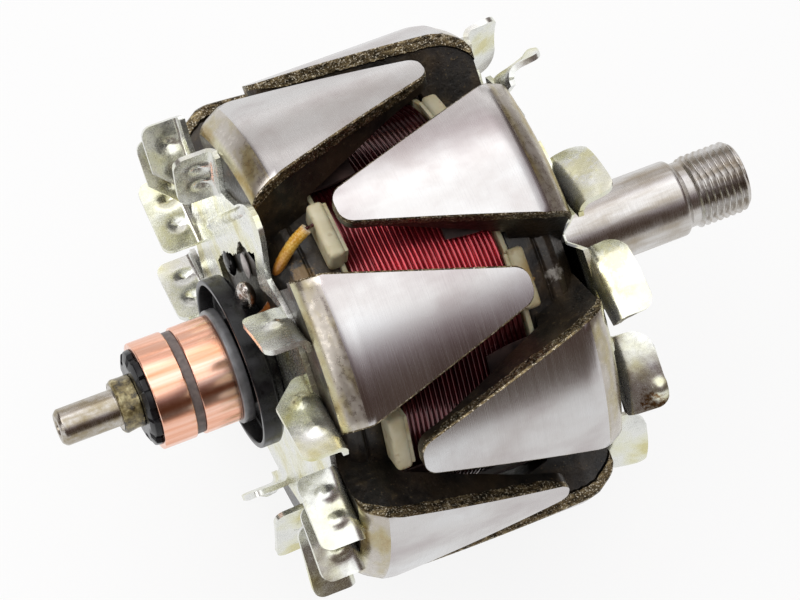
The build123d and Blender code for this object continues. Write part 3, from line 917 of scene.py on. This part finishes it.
def blade_shell(inner, outer, back, side, height, bend, camber, corners, ribs, rib_reach,
                waves, lean=0.0, cut=0.0):
    """A bent-up fan blade between two (radius, degrees) places, with pressed ribs.

    Ribs are (place along the blade, width), and rib_reach is how far up they stand.
    The two corners are radii; cut slants off the inner one."""
    start = radial(math.radians(inner[1])) * inner[0]
    finish = radial(math.radians(outer[1])) * outer[0]
    along = finish - start
    length = np.linalg.norm(along)
    e1 = along / length
    ex = np.array([side, 0, 0.0])
    n = np.cross(e1, np.array([1.0, 0, 0]))
    foot_side = -1 if np.dot(n, (start + finish) / 2) > 0 else 1
    path = [(bend + 1.2, 0.0), (bend, 0.0)]
    for k in range(1, 6):
        t = math.radians(15 * k)
        path.append((bend - bend * math.sin(t), bend - bend * math.cos(t)))
    path.append((0.0, bend))
    for k in range(1, BLADE_ROWS + 1):
        t = k / BLADE_ROWS
        path.append((0.0, bend + (height - bend) * (1 - (1 - t) ** 1.5)))
    grid = []
    for j in range(BLADE_COLS):
        u = (1 - math.cos(math.pi * j / (BLADE_COLS - 1))) / 2
        u = 0.5 * u + 0.5 * j / (BLADE_COLS - 1)
        row = []
        for off, h in path:
            top = height - h
            low = 0.5 if h < 0.01 else 0.0
            inset_in = max(edge_inset(top, corners[0], cut), low)
            inset_out = max(edge_inset(top, corners[1], 0.0), low)
            place = inset_in + u * (length - inset_in - inset_out)
            w = place / length
            raised = 0.0
            for centre, width in ribs:
                across = ((w - centre) * length / width) ** 2
                raised += 0.95 * math.exp(-across - ((h - rib_reach * height) / 1.5) ** 2)
            bow = camber * (1 - (2 * w - 1) ** 2) * (h / height)
            drift = waves * math.sin(7.0 * w + start[1]) * (1 - h / height)
            shift = foot_side * (off - bow - lean * h / height - drift) + raised
            row.append(start + e1 * place + n * shift + ex * h + np.array([back, 0, 0]))
        grid.append(row)
    return sheet_shell(grid, SHEET)


def plate_shell(edges, back, rings=12, relief=None):
    """The fan's plate, from a list of (angle, inner radius, outer radius)."""
    grid = []
    for angle, low, high in edges:
        row = []
        for j in range(rings):
            r = low + (high - low) * j / (rings - 1)
            point = radial(math.radians(angle)) * r
            rise = relief(point) if relief else 0.0
            row.append(np.array([back - rise, 0, 0]) + point)
        grid.append(row)
    return sheet_shell(grid, SHEET, True)


DRIVE_BLADES = (10, 39, 68, 110, 136, 163, 190, 218, 246, 272, 298, 329)  # degrees
DRIVE_PLATE_R = 40.9
DRIVE_BORE_R = 9.2
NOTCH_R = 27.5
NOTCH_SIDE = (5.5, 5.2, 4.3, 3.4, 2.6, 2.0, 1.5)  # degrees from a notch's middle


def notch_edge(offset):
    """The plate's outer radius at so many degrees from a notch's middle."""
    lean = math.sin(math.radians(abs(offset)))
    return NOTCH_R if lean < 0.03 else min(5.146 / max(0.216 - lean, 0.01), DRIVE_PLATE_R)


def drive_fan():
    """The plate with its V notches, the hub and the twelve blades."""
    build = Build()
    back = MID + POLE_HALF + 1.8 + SHEET / 2
    middles = []
    for b, following in zip(DRIVE_BLADES, DRIVE_BLADES[1:] + (DRIVE_BLADES[0] + 360,)):
        middles.append((b + 8.2 + following - 10.2) / 2)
    offsets = [-d for d in NOTCH_SIDE] + [0.0] + list(reversed(NOTCH_SIDE))
    edges = []
    for middle, following in zip(middles, middles[1:] + [middles[0] + 360]):
        edges += [(middle + d, DRIVE_BORE_R, notch_edge(d)) for d in offsets]
        gap_start, gap_end = middle + NOTCH_SIDE[0], following - NOTCH_SIDE[0]
        for k in range(1, 8):
            angle = gap_start + (gap_end - gap_start) * k / 8
            edges.append((angle, DRIVE_BORE_R, DRIVE_PLATE_R))
    build.add(*plate_shell(edges, back))
    foot = MID + POLE_HALF + 0.02
    build.add(*lathe([(foot, 9.15), (back, 9.15), (back, 12.7), (foot, 12.7)], 72))
    for k, b in enumerate(DRIVE_BLADES):
        ribs = ((0.78, 1.6),) if k % 3 == 2 else ()
        build.add(*blade_shell(
            (39.6, b - 10.0), (49.2, b + 8.0), back, 1, 8.1, bend=2.0, camber=1.5,
            corners=(4.4, 2.6), ribs=ribs, rib_reach=0.8, waves=0.35, lean=1.2))
    build.piece("drive_end_fan_sheet", "drive_end_fan", ["drive_zinc"], "fan_zinc", 40)


# Each blade's inner and outer (radius, degrees), and its slanted corner
RING_BLADES = (
    ((35.0, 12), (48.5, 25), 0.0),
    ((34.5, 36), (52.2, 50.5), 6.0),
    ((38.8, 67), (52.5, 77.5), 0.0),
    ((38.5, 82), (52.6, 92), 0.0),
    ((38.0, 98), (52.0, 110), 0.0),
    ((34.5, 128), (48.0, 143), 0.0),
    ((36.4, 153.6), (49.0, 169), 0.0),
    ((34.5, 192), (50.5, 206), 0.0),
    ((34.5, 225), (48.0, 236), 0.0),
    ((34.0, 256), (50.5, 262), 0.0),
    ((37.0, 276.5), (51.5, 284), 6.0),
    ((37.0, 292), (52.5, 297), 6.0),
    ((37.7, 319.3), (49.5, 325), 0.0),
)
# The plate's outer and inner edges as (degrees, radius)
RING_OUTLINE = (
    (-180, 38.5), (-100, 38.3), (-60, 38.5), (-40, 38.8), (-30, 39.4), (-22, 41.5),
    (-17, 45.0), (-13, 48.0), (-10, 49.6), (-7, 50.0), (-4, 48.6), (-2.5, 46.0), (-1, 42.0),
    (0.5, 37.5), (2, 35.6), (5, 36.0), (12, 38.6), (17, 40.2), (24, 39.0), (60, 38.7),
    (180, 38.5),
)
RING_BORE = (
    (-180, 27.0), (-171, 27.0), (-165, 13.4), (-128, 13.4), (-112, 16.0), (-98, 20.8),
    (-90, 23.5), (-70, 22.2), (-45, 22.6), (-35, 24.4), (-25, 30.6), (-16, 31.6),
    (-10.5, 34.6), (-8.4, 36.2), (-7.6, 35.0), (-7.0, 30.0), (-6, 28.0), (-3.4, 26.9),
    (0, 28.4), (4, 30.6), (8, 33.0), (11, 34.6), (20, 35.0), (26, 14.0), (30, 13.4),
    (165, 13.4), (171, 27.0), (180, 27.0),
)
FOLD = ((29.4, -77.0), (44.0, -15.6))  # ends of the pressed fold, (radius, degrees)


def ring_fan():
    """The lobed plate with its ragged lead window, and its uneven blades."""
    build = Build()
    back = FACE - SHEET / 2 - 0.05
    coarse, fine = 3.0, 0.75  # degrees between points
    angles = list(np.arange(-180, -40, coarse)) + list(np.arange(-40, 30, fine))
    edges = []
    for a in angles + list(np.arange(30, 179.9, coarse)):
        high = np.interp(a, *zip(*RING_OUTLINE)) + 0.1 * math.sin(a / 3.1)
        low = np.interp(a, *zip(*RING_BORE)) + 0.2 * math.sin(a * 1.3)
        edges.append((a, max(low, 13.35), high))
    start, finish = [radial(math.radians(angle)) * r for r, angle in FOLD]
    span = finish - start

    def relief(point):
        """A pressed fold that runs from the plate's edge towards the lobe's corner."""
        along = min(max(np.dot(point - start, span) / np.dot(span, span), 0), 1)
        gap = np.linalg.norm(point - start - span * along)
        return 0.9 * math.exp(-((gap / 0.65) ** 2))

    build.add(*plate_shell(edges, back, 30, relief))
    for k, (inner, outer, cut) in enumerate(RING_BLADES):
        ribs = ((0.32, 1.15), (0.68, 1.05)) if k else ((0.42, 1.2),)
        build.add(*blade_shell(
            inner, outer, back, -1, 8.9, bend=1.6, camber=0.4, corners=(2.2, 2.4), ribs=ribs,
            rib_reach=0.42, waves=0.3, cut=cut))
    build.piece("slip_ring_end_fan_sheet", "slip_ring_end_fan", ["ring_zinc"], "fan_zinc", 40)


drive_fan()
ring_fan()


# ---- shaft
STUB_X = MID - 63.5
SEAT_X = MID - 33.0
THREAD_PITCH = 1.5
THREAD_STEPS = 10  # points for one turn, along the shaft
AROUND = 72


def shaft():
    """The stepped shaft, and its threaded end as a second closed body."""
    build = Build()
    tip, journal, neck = MID - 76.3, MID + 32.5, MID + 69.4
    body = [
        (tip + 3.4, 0.01), (tip + 1.6, 0.9), (tip + 0.02, 1.9), (tip, 3.2), (tip + 0.8, 4.0),
        (STUB_X, 4.0), (STUB_X, 5.0), (SEAT_X, 5.0), (SEAT_X, 9.0), (journal, 9.0),
        (journal, 8.5), (MID + 64.9, 8.5), (MID + 65.4, 8.4), (MID + 66.6, 7.3), (neck, 7.25),
        (neck, 0.01),
    ]
    rounding = [0, 0, 0.1, 0.2, 0.3] + [0.12] * 10 + [0]
    build.add(*lathe(round_corners(body, rounding), AROUND))
    start, end = MID + 68.0, MID + 80.5
    rows = int((end - start) / THREAD_PITCH * THREAD_STEPS) + 1
    verts = []
    for i in range(AROUND):
        a = 2 * math.pi * i / AROUND
        for j in range(rows):
            x = start + (end - start) * j / (rows - 1)
            phase = ((x - start) / THREAD_PITCH - i / AROUND) % 1.0
            crest = min(max(abs(phase - 0.5) * 2.6 - 0.15, 0), 1)
            r = 8.0 - 0.92 * crest
            r = min(r, 7.05 + (x - start) * 0.9, 6.9 + (end - x) * 0.95)
            verts.append(at(x, r, a))
        verts += [at(end, 2.1, a), at(end - 1.2, 1.0, a), at(end - 3.4, 0.01, a)]
    build.add(verts, grid_faces(AROUND, rows + 3, True, False))
    build.piece("turned_shaft", "shaft", ["shaft"], "shaft_steel", 38)


shaft()


# ---- slip rings
FRONT_X = MID - 59.0
OUTER_X = MID - 57.0  # outer ring, band, inner ring and end band start at these
BAND_X = MID - 49.7
INNER_X = MID - 47.7
END_BAND_X = MID - 39.6
RING_IN = 9.45
RING_OUT = 11.7
MOULDING_BORE = 5.1


def slip_rings():
    plain_ring("outer_ring", "outer_slip_ring", OUTER_X, BAND_X, RING_IN, RING_OUT,
               "copper", 120, 0.3, "ring_copper")
    plain_ring("inner_ring", "inner_slip_ring", INNER_X, END_BAND_X, RING_IN, RING_OUT,
               "copper", 120, 0.3, "ring_copper")
    plain_ring("middle_band", "slip_ring_spacer_band", BAND_X, INNER_X, RING_IN, 11.2,
               "band", 96, 0.15, "grey_band")
    plain_ring("end_flange_band", "slip_ring_end_band", END_BAND_X, MID - 37.2, RING_IN, 12.5,
               "flange", 96, 0.4, "grey_band")


def moulding():
    """The black body under the rings, with its notched front flange."""
    build = Build()
    bore, behind = MOULDING_BORE, MID - 57.02
    build.add(*lathe([(OUTER_X, bore), (SEAT_X, bore), (SEAT_X, 9.4), (OUTER_X, 9.4)], 72))
    flange = [(FRONT_X, bore), (behind, bore), (behind, 10.55), (MID - 58.3, 10.3), (FRONT_X, 8.6)]

    def notched(x, r, a):
        return 0 if r < 8 else -1.0 * min(max(math.sin(9 * a) * 3, 0), 1)

    build.add(*lathe(round_corners(flange, 0.2), 144, notched))
    build.piece("ring_moulding", "slip_ring_moulding", ["black"], "black_plastic")


def cup_and_hub():
    back, floor_x, rim = SEAT_X, MID - 34.4, MID - 37.8
    ring_piece("cup", "insulator_cup", [
        (back, 9.5), (back, 17.6), (back - 0.9, 18.7), (rim, 18.7), (rim, 17.5), (floor_x, 17.3),
        (floor_x, 9.5)], "black", 120, 0.3, "black_plastic")
    plain_ring("hub", "insulator_hub", back, FACE, SEAT_R, 12.75, "black", 72, 0.3,
               "black_plastic")


def collar():
    """The rough resin collar, lumpy on the outside only."""
    draw = random.Random(3).uniform
    lumps = [(draw(2, 9), draw(0, 6.28), draw(0.03, 0.1)) for _ in range(5)]

    def wobble(x, r, a):
        if r < 5.3:
            return 0
        return sum(w * math.sin(int(f) * a + p + x) for f, p, w in lumps) - 0.3

    ring_piece("resin_collar", "end_collar", [
        (STUB_X, 5.05), (STUB_X, 5.6), (MID - 62.9, 6.1), (MID - 61.0, 5.9), (FRONT_X, 6.1),
        (FRONT_X, 5.05)], "resin", 96, 0.3, "collar_resin", wobble)


slip_rings()
moulding()
cup_and_hub()
collar()


# ---- leads
LANE = FACE + 1.6  # the sleeve runs at this depth in the pole's slot
SLEEVE_PATH = (
    (MID - 21.0, 1.5, 46.0), (MID - 24.0, 0.8, 43.5), (LANE + 0.8, 0, 38.0), (LANE, 0, 31.0),
    (LANE, 0, 24.0), (FACE - 0.2, 0, 18.2), (FACE - 1.5, 0, 16.6),
)
WIRE_PATH = (
    (MID - 19.22, 2.2, 45.2), (MID - 19.9, 2.0, 45.3), (MID - 20.4, 1.7, 45.8),
    (MID - 21.2, 1.5, 46.0),
)


def leads():
    """Woven sleeve, bare wire end and solder joint, above and below the shaft."""
    for name, side in (("upper", 1), ("lower", -1)):
        path = smooth_path([(x, side * y, side * z) for x, y, z in SLEEVE_PATH], 70)
        build = Build()
        build.add(*tube(path, 1.22, 18, lambda i, t: 0.06 * math.sin(9 * t + 1.9 * i)))
        build.piece("sleeve_" + name, "lead_sleeve_" + name, ["sleeve"], "lead_sleeve", 50)
        wire = smooth_path([(x, side * y, side * z) for x, y, z in WIRE_PATH], 12)
        build = Build()
        build.add(*tube(wire, 0.38, 10))
        build.piece("wire_" + name, "lead_wire_" + name, ["red"], "winding_enamel", 50)
        draw = random.Random(7).uniform
        lumps = [[draw(-1, 1) for _ in range(3)] + [draw(0.04, 0.1)] for _ in range(7)]
        turn = 0 if side > 0 else 180
        build = Build()
        build.add(*pebble((-32.2, 15.0, turn), (1.8, 1.9, 1.9), turn))
        build.add(*pebble((-32.4, 19.9, turn - 14), (1.9, 3.7, 2.3), turn - 4, 18, 26, lumps))
        build.piece("solder_" + name, "solder_joint_" + name, ["solder"], "solder", 60)


leads()


# ---- floor, light and camera
FLOOR_GLOW = 0.88  # share of plain white, as the camera, mirrors and glass see the floor
WORLD_STOPS = (  # dark and warm low down, bright overhead
    (0.0, (0.16, 0.13, 0.12)), (0.12, (0.07, 0.055, 0.045)), (0.4, (0.05, 0.032, 0.024)),
    (0.62, (0.055, 0.036, 0.030)), (0.73, (0.16, 0.12, 0.13)), (0.8, (0.46, 0.44, 0.45)),
    (0.88, (0.98, 0.98, 0.98)),
)
LAMPS = (  # name, place and size in metres, watts
    ("key", (-0.75, 0.35, 0.95), (0.6, 0.6), 3.0),
    ("back", (0.25, 1.15, 0.32), (1.3, 0.8), 2.2),
    ("high", (0.15, 0.8, 0.88), (1.4, 0.8), 2.6),
    ("left", (-1.1, -0.2, 0.45), (0.5, 0.6), 2.0),
)


def floor():
    """A plain white floor that keeps the object's shadow."""
    mat = bpy.data.materials.new("floor_white")
    mat.use_nodes = True
    nodes, join = mat.node_tree.nodes, mat.node_tree.links.new
    shader = nodes["Principled BSDF"]
    shader.inputs["Base Color"].default_value = (0.85, 0.85, 0.85, 1)
    shader.inputs["Roughness"].default_value = 0.9
    glow = nodes.new("ShaderNodeEmission")
    glow.inputs["Color"].default_value = (1, 1, 1, 1)
    glow.inputs["Strength"].default_value = 1.0
    path = nodes.new("ShaderNodeLightPath")
    seen = path.outputs["Is Camera Ray"]
    for other in ("Is Glossy Ray", "Is Transmission Ray"):
        both = nodes.new("ShaderNodeMath")
        both.operation = "MAXIMUM"
        join(seen, both.inputs[0])
        join(path.outputs[other], both.inputs[1])
        seen = both.outputs[0]
    amount = nodes.new("ShaderNodeMath")
    amount.operation = "MULTIPLY"
    join(seen, amount.inputs[0])
    amount.inputs[1].default_value = FLOOR_GLOW
    mixer = nodes.new("ShaderNodeMixShader")
    join(amount.outputs[0], mixer.inputs[0])
    join(shader.outputs[0], mixer.inputs[1])
    join(glow.outputs[0], mixer.inputs[2])
    join(mixer.outputs[0], nodes["Material Output"].inputs["Surface"])
    half, z = 3.0, -CLAW_R * MM - 0.0002
    corners = [(-half, -half, z), (half, -half, z), (half, half, z), (-half, half, z)]
    mesh = bpy.data.meshes.new("floor")
    mesh.from_pydata(corners, [], [(0, 1, 2, 3)])
    mesh.materials.append(mat)
    plane = add_object("floor", mesh)


def light():
    """A room that is dark and warm low down and pale overhead, and four soft lamps."""
    world = bpy.data.worlds.new("studio")
    bpy.context.scene.world = world
    world.use_nodes = True
    nodes, join = world.node_tree.nodes, world.node_tree.links.new
    background = nodes["Background"]
    coords = nodes.new("ShaderNodeTexCoord")
    parts = nodes.new("ShaderNodeSeparateXYZ")
    join(coords.outputs["Generated"], parts.inputs[0])
    sky = nodes.new("ShaderNodeValToRGB")
    set_ramp(sky.color_ramp, WORLD_STOPS)
    join(parts.outputs[2], sky.inputs[0])
    join(sky.outputs[0], background.inputs["Color"])
    background.inputs["Strength"].default_value = 1.65
    target = Vector((MID * MM, 0, 0))
    for name, place, size, watts in LAMPS:
        data = bpy.data.lights.new(name, "AREA")
        data.shape = "RECTANGLE"
        data.size, data.size_y = size
        data.energy = watts
        lamp = add_object(name, data)
        lamp.location = place
        lamp.rotation_euler = (target - Vector(place)).to_track_quat("-Z", "Y").to_euler()


def camera():
    """The photograph's view: placed from the fit of the claw corners, with its slight roll."""
    place = Vector((-0.21852, -0.32413, 0.73099))
    target = Vector((-0.03892, 0.00006, 0.00029))
    roll = math.radians(5.745)
    data = bpy.data.cameras.new("camera")
    data.lens = 174.76
    data.sensor_width = 36
    data.clip_end = 20
    cam = add_object("camera", data)
    forward = (target - place).normalized()
    level = forward.cross(Vector((0, 0, 1))).normalized()
    up = level.cross(forward)
    right_r = level * math.cos(roll) + up * math.sin(roll)
    up_r = up * math.cos(roll) - level * math.sin(roll)
    basis = Matrix((right_r, up_r, -forward)).transposed()
    cam.matrix_world = Matrix.Translation(place) @ basis.to_4x4()
    bpy.context.scene.camera = cam


floor()
light()
camera()
bpy.context.scene.view_settings.view_transform = "Standard"
